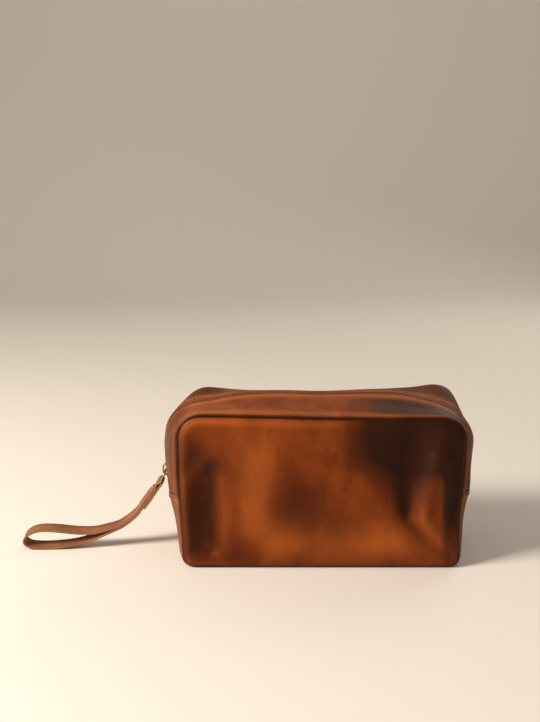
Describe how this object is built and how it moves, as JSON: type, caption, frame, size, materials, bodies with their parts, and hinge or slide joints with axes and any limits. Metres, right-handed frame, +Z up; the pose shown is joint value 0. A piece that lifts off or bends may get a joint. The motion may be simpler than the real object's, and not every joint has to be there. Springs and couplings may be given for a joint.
{
  "type": "shaving kit bag",
  "caption": "Soft leather box bag with a zip over the top and down both ends, and a wrist strap hung on a ring from the zip slider.",
  "frame": {"origin": "centre of the flat base, on the surface that the bag stands on", "axes": "+X along the bag's length, away from the wrist strap; +Y from the front panel to the back panel; +Z up"},
  "size_m": [0.3845, 0.1, 0.1328],
  "materials": {
    "leather": "pull-up leather, soft gloss, pebbled grain, light patches where it bends",
    "lining_cloth": "plain woven cotton lining",
    "zip_tape": "dark brown woven tape",
    "antique_brass": "antique brass, darkened in the hollows and rubbed bright on the edges",
    "thread": "waxed brown thread"
  },
  "bodies": {
    "root": {"front_panel_lower": "leather", "back_panel_lower": "leather", "bottom_gusset": "leather", "lining_front_lower": "lining_cloth", "lining_back_lower": "lining_cloth", "lining_bottom_gusset": "lining_cloth", "left_join_thread": "thread", "right_join_thread": "thread", "zip_bottom_stop": "antique_brass"},
    "front_half": {"front_panel_upper": "leather", "front_zip_strip": "leather", "front_strip_thread": "thread", "zip_tape_front": "zip_tape", "zip_teeth_front": "antique_brass", "zip_top_stop_front": "antique_brass", "lining_front_upper": "lining_cloth", "lining_front_strip": "lining_cloth"},
    "back_half": {"back_panel_upper": "leather", "back_zip_strip": "leather", "back_strip_thread": "thread", "zip_tape_back": "zip_tape", "zip_teeth_back": "antique_brass", "zip_top_stop_back": "antique_brass", "lining_back_upper": "lining_cloth", "lining_back_strip": "lining_cloth"},
    "slider": {"zip_slider": "antique_brass"},
    "ring": {"strap_ring": "antique_brass"},
    "strap": {"wrist_strap": "leather", "strap_thread": "thread"}
  },
  "joints": [
    {"name": "front_mouth", "type": "hinge", "parent": "root", "child": "front_half", "pos_m": [0, -0.05, 0.054], "axis": [1, 0, 0], "range_deg": [0, 25]},
    {"name": "back_mouth", "type": "hinge", "parent": "root", "child": "back_half", "pos_m": [0, 0.05, 0.054], "axis": [-1, 0, 0], "range_deg": [0, 25]},
    {"name": "zip_slide", "type": "slide", "parent": "root", "child": "slider", "axis": [-0.0768, 0, 0.997], "range_m": [0, 0.022]},
    {"name": "ring_swing", "type": "hinge", "parent": "slider", "child": "ring", "pos_m": [-0.1314, 0, 0.0643], "axis": [0, 1, 0], "range_deg": [-10, 60]},
    {"name": "strap_swing", "type": "hinge", "parent": "ring", "child": "strap", "pos_m": [-0.13521, 0, 0.05614], "axis": [0, 1, 0], "range_deg": [-30, 60]}
  ]
}
